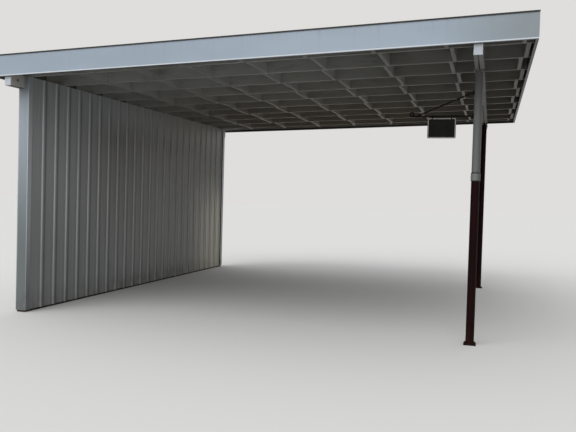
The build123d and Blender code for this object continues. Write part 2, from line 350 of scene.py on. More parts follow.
def sheet_finish(name, face, indoors):
    """White coated steel sheet: each panel a tone of its own, a painted highlight on each rib's
    flank that faces the front and painted shade behind each rib, a dull foot and rust at the cut
    edge.

    It carries a painted warm light that grows towards the rear and grey painted shade that is
    heaviest low down, both far stronger indoors. Indoors there is also brown painted shade in the
    middle of its length, eased off near the roof, where the ribs' painted highlight and shade fade,
    and a painted pale light lies low at the end by the rear opening.
    """
    f = Finish(name)
    along = f.y - wall_front
    shade = ((along / PANEL).floor() * 0.37 + 0.2).math("FRACT") * 0.5
    clouds = f.noise((0.8, 0.5, 0.8), shift=(0.0, face, 0.0))
    streaks = f.noise((22.0, 22.0, 0.7), detail=4.0, shift=(0.0, face * 3.0, 0.0))
    own_shade = (shade + clouds.step(0.3, 0.7) * 0.5).clamp()
    base = f.mix(own_shade, tone(192, 197, 201), tone(204, 208, 211))
    # Painted warm light, growing towards the rear, far stronger indoors.
    warm_lit = f.mix(f.y.step(-1.6, 1.6) * (0.2 + 0.4 * indoors), base, tone(190, 182, 166))
    # Painted shade: grey, heaviest low down, far stronger indoors.
    grey_shaded = f.mix(f.z.step(2.5, 0.7) * (0.1 + 0.55 * indoors), warm_lit, tone(150, 151, 149))
    # Painted shade, brown, in the middle of the wall's length indoors, eased off near the roof.
    shade_eased_up_top = 1.0 - 0.85 * f.z.step(2.1, 2.6)
    mid_shade = f.y.step(-2.3, -0.7) * f.z.step(0.2, 2.2) * shade_eased_up_top * (0.8 * indoors)
    mid_shaded = f.mix(mid_shade, grey_shaded, tone(98, 94, 87))
    # Painted pale light low at the wall's end by the rear opening, indoors.
    rear_light = f.y.step(1.2, 2.5) * f.z.step(1.9, 0.9) * indoors
    rear_lit = f.mix(rear_light, mid_shaded, tone(238, 232, 216))
    rib = along.wrap(RIB_PITCH)
    # Painted shade under the roof fades the ribs' painted highlight and shade.
    roof_shade = (f.z - 0.24 * abs(f.y - 0.6)).step(1.9, 2.25) * indoors
    roof_shade_fade = 1.0 - 0.6 * roof_shade
    # Painted shade on the pan just behind each rib.
    shade_behind_rib = rib.step(0.003, 0.010) * rib.step(0.075, 0.045) * along.step(0.10, 0.12)
    shade_depth = (0.1 + indoors * (0.5 + 0.35 * f.y.step(0.2, 2.2))) * roof_shade_fade
    shadowed = f.mix(shade_behind_rib * shade_depth, rear_lit, tone(80, 78, 73))
    # Painted highlight on each rib's flank that faces the front.
    slant = rib.step(-0.0245, -0.0230) * rib.step(-0.0125, -0.0140)
    flank_highlight = slant * (0.4 + 0.6 * f.z.step(0.3, 1.5))
    rib_highlighted = f.mix(flank_highlight * roof_shade_fade * (0.3 + 0.6 * indoors), shadowed, tone(236, 238, 236))
    streaked = f.mix(streaks.step(0.5, 0.72) * 0.22, rib_highlighted, tone(140, 138, 130))
    spatter = f.noise((7.0, 7.0, 5.0), detail=5.0).step(0.36, 0.7)
    splash = f.z.step(0.34, 0.02) * (0.35 + spatter)
    dull_foot = (splash * (1.0 - 0.8 * rear_light) * 0.36).clamp()
    soiled = f.mix(dull_foot, streaked, tone(108, 102, 92))
    cut_edge = f.z.step(0.04, 0.021) * f.noise(30.0).step(0.5, 0.66)
    patches = f.noise(1.1, shift=(0.0, 5.0, 0.0)).step(0.5, 0.6)
    specks = f.specks((4.0, 4.0, 3.0), 0.06) * patches
    colour = f.mix((cut_edge * 0.5 + specks * 0.4).clamp(), soiled, tone(104, 76, 56))
    pans = f.bump(f.noise((0.5, 3.2, 1.3), detail=1.0), 0.0022)
    coating = f.bump(f.noise(260.0, detail=1.0), 0.00008, pans)
    return f.surface(colour, 0.36 + 0.3 * splash.clamp() + 0.1 * clouds, coating)


def trim_finish(name, cool, warm):
    """White folded trim on the wall's ends: one tone above and one below, which on the front trim
    are painted light above and painted shade at the foot, soft clouds, a painted highlight along
    the folded edges, streaks, and dirt splashed up at the foot.
    """
    f = Finish(name)
    clouds = f.noise((2.0, 2.0, 0.7), detail=4.0)
    streaks = f.noise((40.0, 40.0, 0.9), detail=4.0)
    # The two tones: on the front trim painted light above and painted shade at the foot.
    face = f.mix(f.z.step(0.6, 2.4), warm, cool)
    from_edge = abs(f.x - (wall_outer + wall_inner) / 2) - (wall_inner - wall_outer) / 2
    # Painted highlight along the folded edges, stronger higher up.
    edge = from_edge.step(-0.011, -0.005)
    base = f.mix(edge * f.z.step(-0.6, 1.8) * 0.85, face, tone(226, 232, 236))
    cloudy = f.mix(clouds.step(0.62, 0.36) * 0.18, base, tone(120, 124, 126))
    streaked = f.mix(streaks.step(0.54, 0.72) * 0.25, cloudy, tone(122, 122, 116))
    spatter = f.noise((14.0, 14.0, 7.0), detail=5.0).step(0.36, 0.7)
    splash = f.z.step(0.4, 0.02) * (0.3 + spatter)
    colour = f.mix((splash * 0.4).clamp(), streaked, tone(104, 100, 92))
    dents = f.bump(f.noise((3.0, 3.0, 1.6), detail=1.0), 0.0025)
    return f.surface(colour, 0.38 + 0.3 * splash.clamp(), f.bump(f.noise(260.0), 0.00008, dents))


def timber_finish(name, along):
    """White painted board: brush lines and grain along it, grey grime, worn paint on raw wood.

    It is browner towards the rear, less so by the wall, and carries painted shade towards the
    posts.
    The boards' ends over the wall carry a painted pale light, and so do the narrow faces that look
    down, the more the nearer they are to the rear, but those of the boards across the rafters carry
    painted shade, save by the posts, under less of that light. The beams' end faces carry a painted
    bluish light. The slot between a beam's two boards and the wall beam's underside carry
    near-black painted shade.
    """
    f = Finish(name)
    grain = f.noise({"x": (2.2, 95.0, 95.0), "y": (95.0, 2.2, 95.0)}[along], detail=4.0)
    broad = {"x": (1.1, 9.0, 9.0), "y": (9.0, 1.1, 9.0)}[along]
    flaws = f.noise(broad, detail=5.0, roughness=0.65, shift=(1.0, 7.0, 3.0))
    clouds = f.noise((0.9, 0.9, 3.0), detail=4.0)
    grime = f.noise((3.0, 3.0, 8.0), detail=5.0, shift=(4.0, 2.0, 1.0)).step(0.48, 0.72)
    base = f.mix(clouds.step(0.32, 0.68), tone(196, 197, 195), tone(208, 209, 207))
    warm = f.mix(f.brown_share(), base, tone(156, 145, 126))
    lined = f.mix(grain.step(0.5, 0.75) * 0.35, warm, tone(150, 147, 138))
    # Painted shade towards the posts.
    shaded_towards_posts = f.mix(f.x.step(-0.3, 2.6) * 0.52, lined, tone(118, 115, 108))
    lift = f.over_rafters()
    foot = abs(lift).step(0.003, 0.001)
    # Painted light on the narrow faces that look down, more towards the rear; painted shade on
    # those of the boards across the rafters, save by the posts.
    downward_light, downward_shade = {"x": (0.45, 0.0), "y": (0.3, 0.45)}[along]
    dull = f.mix(foot * f.x.step(2.5, 1.5) * downward_shade, shaded_towards_posts, tone(128, 126, 119))
    soiled = f.mix(grime * 0.35, dull, tone(124, 120, 109))
    worn = (flaws + 0.25 * (grain - 0.5)).step(0.72, 0.74)
    wood = f.mix(grain.step(0.38, 0.62), tone(90, 80, 68), tone(124, 114, 100))
    lit_from_below = foot * f.y.step(-1.8, 2.4) * downward_light
    over_wall = f.x.step(-2.2, -2.4)
    beam_end = roof_high[1]
    # Painted pale light on the boards' ends over the wall.
    lit_beam_ends = abs(f.y).step(beam_end - 0.27, beam_end - 0.2) * over_wall
    highlighted = (lit_beam_ends * 0.9).most(lit_from_below)
    lit_pale = f.mix(highlighted, f.mix(worn, soiled, wood), tone(244, 240, 234))
    # Near-black painted shade in the slot between a beam's two boards and under the wall beam.
    slot = abs(f.x - post_x).least(abs(f.x - left_beam_x)).step(0.0050, 0.0043)
    below = lift.step(-0.001, -0.003)
    seat = (f.z - left_beam_foot).step(0.003, 0.001) * over_wall
    shaded = f.mix((slot * below).most(seat) * 0.9, lit_pale, tone(22, 21, 20))
    # Painted bluish light on the beams' end faces.
    lit_end_faces = abs(f.y).step(beam_end - FASCIA - 0.0015, beam_end - FASCIA - 0.0003)
    lit_end_tone = f.mix(f.x.step(-2.0, 2.0), tone(226, 234, 242), tone(216, 224, 232))
    colour = f.mix(lit_end_faces, shaded, lit_end_tone)
    ridges = f.bump(grain, 0.0006)
    return f.surface(colour, 0.62 + 0.2 * worn, f.bump(1.0 - worn, 0.0005, ridges), specular=0.3)


def deck_finish():
    """Painted sheathing seen from below: panels with open joints, patches and rings of old damp."""
    f = Finish("painted_deck")
    grain = f.noise((70.0, 2.5, 70.0), detail=4.0)
    clouds = f.noise(0.8, detail=4.0, shift=(2.0, 0.0, 0.0))
    damp = f.noise(0.9, detail=6.0, roughness=0.6, shift=(9.0, 4.0, 0.0))
    ring = abs(damp - 0.6).step(0.03, 0.0)
    panel = 2 * RAFTER_PITCH
    along = f.x.off(panel, 0.31).step(0.0035, 0.0015)
    across = f.y.off(2 * panel, rafter_y[0] + RAFTER_PITCH / 2).step(0.003, 0.001)
    joint = along.most(across)
    base = f.mix(clouds.step(0.3, 0.7), tone(180, 181, 178), tone(192, 193, 190))
    warm = f.mix(f.brown_share(), base, tone(146, 135, 117))
    lined = f.mix(grain.step(0.5, 0.72) * 0.35, warm, tone(142, 139, 130))
    # Painted shade towards the posts.
    shaded_towards_posts = f.mix(f.x.step(-0.6, 2.6) * 0.55, lined, tone(112, 109, 102))
    stained = f.mix(damp.step(0.6, 0.66) * 0.32 + ring * 0.25, shaded_towards_posts, tone(128, 104, 74))
    colour = f.mix(joint, stained, tone(38, 35, 31))
    height = (grain * 0.2 + 0.8) * (1.0 - joint)
    return f.surface(colour, 0.7, f.bump(height, 0.0015), specular=0.25)


def raw_timber_finish(name, along):
    """Bare framing lumber: growth lines along the board, knots, and dark with damp at the foot."""
    f = Finish(name)
    grain = f.noise({"y": (90.0, 2.0, 90.0), "z": (90.0, 90.0, 2.0)}[along], detail=4.0)
    knots = f.specks({"y": (14.0, 2.4, 14.0), "z": (14.0, 14.0, 2.4)}[along], 0.3)
    wood = f.mix(grain.step(0.35, 0.65), tone(132, 104, 70), tone(176, 148, 108))
    knotty = f.mix(knots * 0.8, wood, tone(84, 56, 34))
    damp = f.z.step(0.42, 0.04) * (0.8 + 0.2 * f.noise(6.0).step(0.3, 0.6))
    colour = f.mix(damp, knotty, tone(34, 31, 28))
    return f.surface(colour, 0.8, f.bump(grain, 0.0005), specular=0.2)


def roofing_finish():
    """Mineral roll roofing: coloured grit, bitumen squeezed out at each lap, faded patches and
    dried run-off.
    """
    f = Finish("mineral_roofing")
    grit = f.noise(620.0, detail=1.0)
    chips = f.noise(240.0, detail=2.0, shift=(2.0, 0.0, 0.0))
    faded = f.noise(0.6, detail=5.0, roughness=0.62)
    base = f.mix(grit.step(0.36, 0.64), tone(56, 57, 59), tone(104, 103, 100))
    mottled = f.mix(chips.step(0.55, 0.68) * 0.5, base, tone(126, 122, 115))
    weathered = f.mix(faded.step(0.42, 0.7) * 0.4, mottled, tone(122, 119, 112))
    run_off = f.noise((0.8, 9.0, 1.0), detail=4.0, shift=(0.0, 3.0, 0.0)).step(0.55, 0.75)
    streaked = f.mix(run_off * 0.3, weathered, tone(62, 60, 55))
    ragged = f.noise((3.0, 18.0, 3.0), detail=3.0) * 0.018
    lap = (f.x - ragged).off(COURSE, roof_low[0] + DRIP_TOP).step(0.012, 0.006)
    colour = f.mix(lap * 0.85, streaked, tone(24, 23, 23))
    grains = f.bump(grit * 0.7 + chips * 0.3, 0.0009)
    return f.surface(colour, 0.93 - 0.35 * lap, grains, specular=0.25)


def drip_finish():
    """Dark coated drip edge: bright scratches and chalk bloom."""
    f = Finish("dark_metal")
    bloom = f.noise((2.0, 2.0, 8.0), detail=5.0)
    scratch = f.noise((5.0, 5.0, 420.0), detail=2.0).step(0.66, 0.72)
    base = f.mix(bloom.step(0.35, 0.7), tone(24, 23, 23), tone(38, 37, 36))
    colour = f.mix(scratch * 0.3, base, tone(96, 94, 91))
    return f.surface(colour, 0.45 + 0.25 * bloom, f.bump(f.noise((6.0, 6.0, 12.0)), 0.0008))


def post_finish(name, dark, light, under, shadowed, chips_from, foot_rust, gloss):
    """Brushed gloss paint on a steel tube: runs down it, chips to the coat below, rust round the
    foot.

    The side away from the wall carries painted shade, and grime with painted shade fills the front
    post's joint at both rims of its collar.
    """
    f = Finish(name)
    half_collar = corner("front_post_collar", True)[2] - collar_z
    # Grime with painted shade in the joint at both rims of the collar.
    rims = abs(abs(f.z - collar_z) - half_collar).step(0.012, 0.004)
    joint = rims * abs(f.y - front_post_y).step(0.2, 0.1)
    brush = f.noise((190.0, 190.0, 5.0), detail=3.0)
    clouds = f.noise((6.0, 6.0, 1.6), detail=4.0)
    base = f.mix((clouds.step(0.3, 0.7) * 0.7 + brush * 0.3).clamp(), dark, light)
    flaws = f.noise((46.0, 46.0, 30.0), detail=5.0, roughness=0.6, shift=(1.0, 2.0, 3.0))
    chips = flaws.step(chips_from, chips_from + 0.02)
    # Painted shade on the side away from the wall.
    shaded_far_side = f.mix((f.x - post_x).step(-0.004, 0.034) * 0.4, base, shadowed)
    chipped = f.mix(chips, shaded_far_side, under)
    foot = f.z.step(0.22, 0.0) * f.noise((24.0, 24.0, 12.0), detail=5.0).step(0.36, 0.62)
    rusted = f.mix(foot * foot_rust, chipped, tone(98, 58, 36))
    dusted = f.mix(f.z.step(0.3, 0.0) * 0.04, rusted, tone(84, 74, 64))
    colour = f.mix(joint * 0.75, dusted, tone(36, 34, 32))
    runs = f.bump(f.noise((34.0, 34.0, 2.2), detail=2.0), 0.0012)
    rough = 0.45 + 0.2 * clouds + 0.3 * foot
    return f.surface(colour, rough, f.bump(1.0 - chips, 0.0002, runs), specular=gloss)


def iron_finish():
    """Black painted wrought iron: hammered surface, worn brown on its high spots."""
    f = Finish("black_iron")
    hammer = f.noise(85.0, detail=2.0)
    rust = f.noise(22.0, detail=5.0, roughness=0.65).step(0.56, 0.68)
    base = f.mix(hammer.step(0.3, 0.7), tone(12, 12, 12), tone(24, 23, 23))
    colour = f.mix(rust * 0.6, base, tone(84, 50, 32))
    return f.surface(colour, 0.6 + 0.25 * rust, f.bump(hammer, 0.0012), specular=0.08)


def sign_finish():
    """Black enamelled plate, scuffed, with a plain pale line just inside its edge and nothing else.

    The distance from its rounded edge is that from a box smaller by the corner's radius, less that
    radius. Outside the box it is the root of the squares of how far a point is past it in X and Z,
    and inside it the greater of the two.
    """
    f = Finish("sign_black")
    centre, half = middle("sign_plate"), (corner("sign_plate", True) - corner("sign_plate")) / 2
    over_x = abs(f.x - centre[0]) - (half[0] - SIGN_CORNER)
    over_z = abs(f.z - centre[2]) - (half[2] - SIGN_CORNER)
    beyond = (over_x.most(0.0) ** 2 + over_z.most(0.0) ** 2) ** 0.5
    edge = beyond + over_x.most(over_z).least(0.0) - SIGN_CORNER
    line = abs(edge + 0.0070).step(0.0042, 0.0034)
    scuff = f.noise(60.0, detail=5.0, roughness=0.6)
    base = f.mix(scuff.step(0.35, 0.7), tone(10, 10, 10), tone(18, 18, 18))
    paint = f.mix(scuff.step(0.3, 0.6), tone(170, 168, 162), tone(206, 204, 198))
    colour = f.mix(line * (1.0 - scuff.step(0.66, 0.7)), base, paint)
    faded = f.mix(f.noise(8.0, detail=4.0).step(0.4, 0.75) * 0.1, colour, tone(86, 84, 80))
    return f.surface(faded, 0.5 + 0.2 * scuff, f.bump(scuff, 0.0002), specular=0.12)


def zinc_finish():
    """Galvanised bolts and nails: grey spangle and a little rust."""
    f = Finish("galvanised")
    spangle = f.noise(180.0, detail=2.0)
    rust = f.noise(40.0, detail=4.0, shift=(3.0, 0.0, 1.0)).step(0.56, 0.66)
    base = f.mix(spangle.step(0.3, 0.7), tone(112, 114, 115), tone(158, 160, 160))
    colour = f.mix(rust * 0.75, base, tone(106, 66, 40))
    return f.surface(colour, 0.45 + 0.35 * rust, f.bump(spangle, 0.0002), metallic=0.35)


# Shapes


def ring_faces(rings, corners):
    """Quads between rings: corner j of ring i joins corner j + 1 and the next ring's two."""
    i, j = np.meshgrid(np.arange(rings - 1), np.arange(corners), indexing="ij")
    this, after = i * corners, (j + 1) % corners
    quads = [this + j, this + after, this + corners + after, this + corners + j]
    return np.stack(quads, -1).reshape(-1, 4)


def place_piece(name, points, faces, finish, slot, body="frame", smooth=False):
    """Put points and faces into a mesh with this finish that rides on a body. The slot is not used.
    """
    mesh = bpy.data.meshes.new(name)
    mesh.from_pydata(np.asarray(points).reshape(-1, 3).tolist(), [], faces)
    mesh.validate()
    if smooth:
        mesh.shade_smooth()
        mesh.set_sharp_from_angle(angle=math.radians(40))
    piece = bpy.data.objects.new(name, mesh)
    bpy.context.scene.collection.objects.link(piece)
    mesh.materials.append(finish)
    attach(piece, body)


def turned_heads(places, outward, outline, corners=12):
    """Many screw heads at once: rings of a turned outline, along each place's outward direction.

    A point is place + lift * outward + radius * (cos a * across + sin a * up), where a hexagonal
    ring's radius is its flat's distance over cos of the angle from the nearest flat.
    """
    places = np.atleast_2d(places).astype(float)
    outward = np.broadcast_to(np.asarray(outward, float), places.shape)
    outward = outward / np.linalg.norm(outward, axis=1, keepdims=True)
    guide = np.where(np.abs(outward[:, 2:3]) > 0.9, [[1.0, 0.0, 0.0]], [[0.0, 0.0, 1.0]])
    across = np.cross(guide, outward)
    across = across / np.linalg.norm(across, axis=1, keepdims=True)
    up = np.cross(outward, across)
    angle = np.arange(corners) * 2 * np.pi / corners
    flat = 1 / np.cos((angle + np.pi / 6) % (np.pi / 3) - np.pi / 6)
    reach, lift, hexagonal = np.array(outline, float).T
    radius = reach[:, None] * np.where(hexagonal[:, None] > 0.5, flat, 1.0)
    cos, sin = np.cos(angle)[None, :, None], np.sin(angle)[None, :, None]
    spin = cos * across[:, None, :] + sin * up[:, None, :]
    points = (places[:, None, None, :] + lift[None, :, None, None] * outward[:, None, None, :]
              + radius[None, :, :, None] * spin[:, None, :, :])
    rings = len(outline)
    start = np.arange(len(places)) * rings * corners
    sides = (ring_faces(rings, corners)[None] + start[:, None, None]).reshape(-1, 4)
    tops = start[:, None] + (rings - 1) * corners + np.arange(corners)
    feet = start[:, None] + np.arange(corners)[::-1]
    return points, sides.tolist() + tops.tolist() + feet.tolist()


def join(*shapes):
    """One shape out of several, each with its face numbers moved past the points before it."""
    points, faces, count = [], [], 0
    for some, theirs in shapes:
        some = np.asarray(some).reshape(-1, 3)
        points.append(some)
        faces += [[number + count for number in face] for face in theirs]
        count += len(some)
    return np.concatenate(points), faces


def carried(outline, stations):
    """A closed outline of points in space, repeated at each station's offset and capped.

    The faces are turned round where the outline's normal, the sum of each point crossed with the
    next, looks against the way to the last station.
    """
    outline, stations = np.asarray(outline, float), np.asarray(stations, float)
    points = stations[:, None, :] + outline[None, :, :]
    corners = len(outline)
    faces = ring_faces(len(stations), corners).tolist()
    faces.append(list(range(corners))[::-1])
    faces.append([(len(stations) - 1) * corners + k for k in range(corners)])
    normal = np.cross(outline, np.roll(outline, -1, axis=0)).sum(axis=0)
    if np.dot(normal, stations[-1] - stations[0]) < 0:
        faces = [face[::-1] for face in faces]
    return points, faces


def bead(centre, axis, radius, size, ripples, around, section=10):
    """Weld bead: a ring whose section swells and shrinks with the ripples.

    A point is centre + (radius + s cos b) * (cos a * e + sin a * n) + s sin b * axis,
    with s = size * (1 + 0.16 cos(ripples * a)).
    """
    axis = np.asarray(axis, float) / np.linalg.norm(axis)
    guide = [1.0, 0.0, 0.0] if abs(axis[0]) < 0.9 else [0.0, 0.0, 1.0]
    east = np.cross(guide, axis)
    east /= np.linalg.norm(east)
    north = np.cross(axis, east)
    a = np.arange(around)[:, None] * 2 * np.pi / around
    b = np.arange(section)[None, :] * 2 * np.pi / section
    s = size * (1 + 0.16 * np.cos(ripples * a))
    spoke = np.cos(a)[..., None] * east + np.sin(a)[..., None] * north
    ring = (radius + s * np.cos(b))[..., None] * spoke
    points = np.asarray(centre) + ring + (s * np.sin(b))[..., None] * axis
    faces = ring_faces(around + 1, section) % (around * section)
    return points, faces[:, ::-1].tolist()


def rows(*columns):
    """Every combination of the given coordinates, as places."""
    return np.stack([part.ravel() for part in np.meshgrid(*columns, indexing="ij")], -1)


# Fasteners, from the foot up: radius or half the width across flats, lift, and if it is a hexagon

SHEET_SCREW = [(0.0078, 0.0, False), (0.0078, 0.0012, False), (0.0062, 0.0022, False),
               (0.0040, 0.0022, True), (0.0040, 0.0062, True), (0.0033, 0.0068, True)]
RIVET = [(0.0042, 0.0, False), (0.0041, 0.0008, False), (0.0030, 0.0019, False),
         (0.0012, 0.0024, False)]
NAIL = [(0.0048, -0.0005, False), (0.0048, 0.0012, False), (0.0030, 0.0018, False)]
TRIM_NAIL = [(0.0026, -0.0003, False), (0.0026, 0.0008, False), (0.0014, 0.0012, False)]
BOLT_HEAD = [(0.0150, 0.0, False), (0.0150, 0.0022, False), (0.0095, 0.0022, True),
             (0.0095, 0.0098, True), (0.0080, 0.0112, True)]
ANCHOR_NUT = [(0.0104, 0.0, False), (0.0104, 0.0020, False), (0.0084, 0.0020, True),
              (0.0084, 0.0090, True), (0.0074, 0.0100, True), (0.0050, 0.0100, False),
              (0.0050, 0.0135, False), (0.0040, 0.0146, False)]
PAD_SCREW = [(0.0052, 0.0, False), (0.0051, 0.0014, False), (0.0036, 0.0030, False),
             (0.0014, 0.0037, False)]
SET_SCREW = [(0.0046, -0.002, True), (0.0046, 0.0052, True), (0.0038, 0.0060, True)]
DOME = [(0.0056, 0.0, False), (0.0053, 0.0010, False), (0.0040, 0.0022, False),
        (0.0018, 0.0029, False)]


def wall_faces():
    """Both faces of the wall: name, plane of the sheets between ribs, way out, finish and top."""
    return (("inner", inner_pan, 1.0, inner_sheet, sheet_top),
            ("outer", outer_pan, -1.0, outer_sheet, outer_top))


def sheet_screws():
    """Screws beside each rib, in rows at the sill, both girts and the top plate, on both faces.

    Each is off its row by 4 mm * sin(57y + 31z) along the wall, and from there by
    3 mm * cos(43y + 17z) in height.
    """
    beside_rib, sill = 0.038, 0.031
    rib_side = wall_front + RIB_PITCH * np.arange(RIBS) + beside_rib
    girts = [corner("wall_girts")[2] + HALF_BOARD, corner("wall_girts", True)[2] - HALF_BOARD]
    heights = np.array([sill, *girts, middle("top_plate")[2]])
    for face, pan, outward, finish, _ in wall_faces():
        places = rows([pan], rib_side, heights)
        places[:, 1] += 0.004 * np.sin(places[:, 1] * 57 + places[:, 2] * 31)
        places[:, 2] += 0.003 * np.cos(places[:, 1] * 43 + places[:, 2] * 17)
        screws = turned_heads(places, (outward, 0, 0), SHEET_SCREW)
        place_piece(f"{face}_screws", *screws, finish, slot="white_steel")


def sheet_laps():
    """Free edge of each sheet over its neighbour's rib: the crest and one flank, a sheet thicker.

    The section follows the rib at two offsets and is carried straight up the wall. Stitching screws
    go through it in a row up the crest.
    """
    crest = RIB_HEIGHT - SHEET
    lift, way = np.array([[crest, crest, 0.0, 0.0], [-0.0138, 0.0142, 0.0234, 0.0290]])
    level = np.zeros(4)
    offsets = ((0.0001, 0.0), (0.0010, 0.0004))
    heights = np.arange(0.3, 2.6, 0.55)
    for face, pan, outward, finish, top in wall_faces():
        shapes = []
        stations = [[0, 0, sheet_foot - 0.004], [0, 0, top - 0.0005]]
        for joint in (1, 2):
            y = wall_front + joint * PANEL
            under, over = (np.column_stack([pan + outward * (lift + out), y + way + on, level])
                           for out, on in offsets)
            shapes.append(carried(np.concatenate([under, over[::-1]]), stations))
            stitches = rows([pan + outward * (crest + 0.001)], [y], heights)
            shapes.append(turned_heads(stitches, (outward, 0, 0), SHEET_SCREW))
        place_piece(f"{face}_laps", *join(*shapes), finish, slot="white_steel")


def end_cap_rivets():
    """Rivets down both edges of each end cap's face and down its two legs."""
    lowest, below_top, count = 0.12, 0.16, 7
    heights = np.linspace(lowest, sheet_top - below_top, count)
    shapes = []
    for y, outward in ((corner("front_end_cap")[1], -1.0), (corner("rear_end_cap", True)[1], 1.0)):
        face = rows([wall_outer + CAP_EDGE, wall_inner - CAP_EDGE], [y], heights)
        shapes.append(turned_heads(face, (0, outward, 0), RIVET))
        for high, side in ((True, 1.0), (False, -1.0)):
            leg = rows([corner("front_end_cap", high)[0]], [y - outward * HALF_BOARD], heights)
            shapes.append(turned_heads(leg, (side, 0, 0), RIVET))
    place_piece("end_cap_rivets", *join(*shapes), zinc, slot="white_steel")


def fascia_trim():
    """Lapped joint covers, folded corners and small nails on the white fascia wrap.

    A cover is a thin plate over the joint of two lengths of wrap, 16 mm to each side of it. A
    corner is folded 34 mm round to the front or rear and 19.5 mm round to the side. All stand
    0.7 mm proud and end 1.5 mm below the drip edge, the corners 2 mm lower.
    """
    proud, half_cover, fold, back = 0.0007, 0.016, 0.034, 0.0195
    below_drip, corner_drop = 0.0015, 0.002
    side_joint, nail_pitch, nail_lifts, first_x, first_y = 0.61, 0.61, (0.012, 0.150), 0.12, 0.15
    fronts = ((roof_low[1], -1.0), (roof_high[1], 1.0))
    sides = ((roof_low[0], -1.0), (roof_high[0], 1.0))
    start = roof_low[0] - LIP
    top = FASCIA_DROP + ROOF_BUILD_UP - DRIP_HANG - below_drip
    corner_top = top - corner_drop
    profile = np.array([[proud, LIP_TOP], [proud, top], [0.0, top], [0.0, LIP_TOP]])
    joint_z = corner("front_fascia")[2] + ROOF_SLOPE * WRAP_LENGTH
    slant = np.array([half_cover, 0.0, half_cover * ROOF_SLOPE])
    shapes = []
    for face, outward in fronts:
        outline = np.column_stack([np.full(4, start + WRAP_LENGTH), face + outward * profile[:, 0],
                                   joint_z + profile[:, 1]])
        shapes.append(carried(outline, [-slant, slant]))
    for face, outward in sides:
        outline = np.column_stack([face + outward * profile[:, 0], np.full(4, side_joint),
                                   rafter_foot(face) - FASCIA_DROP + profile[:, 1]])
        shapes.append(carried(outline, [[0, -half_cover, 0], [0, half_cover, 0]]))
    for end, side in ((start, -1.0), (roof_high[0] + LIP, 1.0)):
        z = rafter_foot(end) - FASCIA_DROP + LIP_TOP
        for face, outward in fronts:
            leg, far = ([[end - side * fold, face + outward * out, z],
                         [end + side * out, face + outward * out, z],
                         [end + side * out, face - outward * back, z]] for out in (0.0, proud))
            shapes.append(carried(leg + far[::-1], [[0, 0, 0], [0, 0, corner_top - LIP_TOP]]))
    place_piece("fascia_laps", *join(*shapes), fascia_white, slot="fascia_white")
    along = np.arange(roof_low[0] + first_x, roof_high[0], nail_pitch)
    across = np.arange(roof_low[1] + first_y, roof_high[1], nail_pitch)
    shapes = []
    for face, outward in fronts:
        for lift in nail_lifts:
            places = np.column_stack([along, np.full_like(along, face), rafter_foot(along) + lift])
            shapes.append(turned_heads(places, (0, outward, 0), TRIM_NAIL, corners=8))
    for face, outward in sides:
        for lift in nail_lifts:
            places = rows([face], across, [rafter_foot(face) + lift])
            shapes.append(turned_heads(places, (outward, 0, 0), TRIM_NAIL, corners=8))
    place_piece("fascia_nails", *join(*shapes), fascia_white, slot="fascia_white")


def roofing_courses():
    """Lapped roll roofing inside the drip edge's flanges.

    Its height over the covering is 1.7 mm at each lap's free edge and falls to 0.6 mm by the next,
    with waves of 0.15 mm: h = 0.0017 - 0.0011 * part of course + 0.00015 * sin(9x + 2 sin 3y).
    """
    inset, step = DRIP_TOP + 0.001, 0.0015
    x_low, y_low = roof_low[:2] + inset
    x_high, y_high = roof_high[:2] - inset
    edges = np.arange(x_low, x_high, COURSE)[1:]
    x = np.unique(np.concatenate([np.linspace(x_low, x_high, 40), edges, edges - step]))
    y = np.linspace(y_low, y_high, 70)
    part = ((x - x_low + 1e-6) % COURSE) / COURSE
    grid_x, grid_y = np.meshgrid(x, y, indexing="ij")
    covering = roof_low[2] + ROOFING + ROOF_SLOPE * (grid_x - roof_low[0])
    waves = 0.00015 * np.sin(9 * grid_x + 2 * np.sin(3 * grid_y))
    height = 0.0017 - 0.0011 * part[:, None] + waves
    top = np.stack([grid_x, grid_y, covering + height], -1)
    bottom = np.stack([grid_x, grid_y, covering + 0.0001], -1)
    lines, line = grid_x.shape
    below = lines * line
    number = np.arange(below).reshape(lines, line)
    quad = np.stack([number[:-1, :-1], number[1:, :-1], number[1:, 1:], number[:-1, 1:]], -1)
    quad = quad.reshape(-1, 4)
    rim = np.concatenate([number[:, 0], number[-1, 1:], number[-2::-1, -1], number[0, -2:0:-1]])
    after = np.roll(rim, -1)
    wall = np.stack([rim + below, after + below, after, rim], -1)
    faces = np.concatenate([quad, quad[:, ::-1] + below, wall])
    place_piece("roofing_courses", np.stack([top, bottom]), faces.tolist(), roofing, slot="roofing")


def blocking_nails():
    """Three nail heads on the far side of each rafter, in line with every blocking board."""
    lifts = np.array([0.032, 0.092, 0.152])
    odd_bay = np.arange(RAFTERS + 1) % 2
    places, outward = [], []
    for number in range(1, BLOCKING_ROWS + 1):
        row = f"blocking_row_{number}"
        stagger = corner(row, True)[0] - middle(row)[0] - HALF_BOARD
        for bay, x in enumerate(middle(row)[0] + np.where(odd_bay, stagger, -stagger)):
            for side, rafter in ((-1.0, bay - 1), (1.0, bay)):
                if 0 <= rafter < RAFTERS:
                    face = rafter_y[rafter] + side * HALF_BOARD
                    places.append(rows([x], [face], rafter_foot(x) + lifts))
                    outward += [[0.0, side, 0.0]] * len(lifts)
    heads = turned_heads(np.concatenate(places), outward, NAIL, corners=8)
    place_piece("blocking_nails", *heads, zinc, slot="painted_timber")


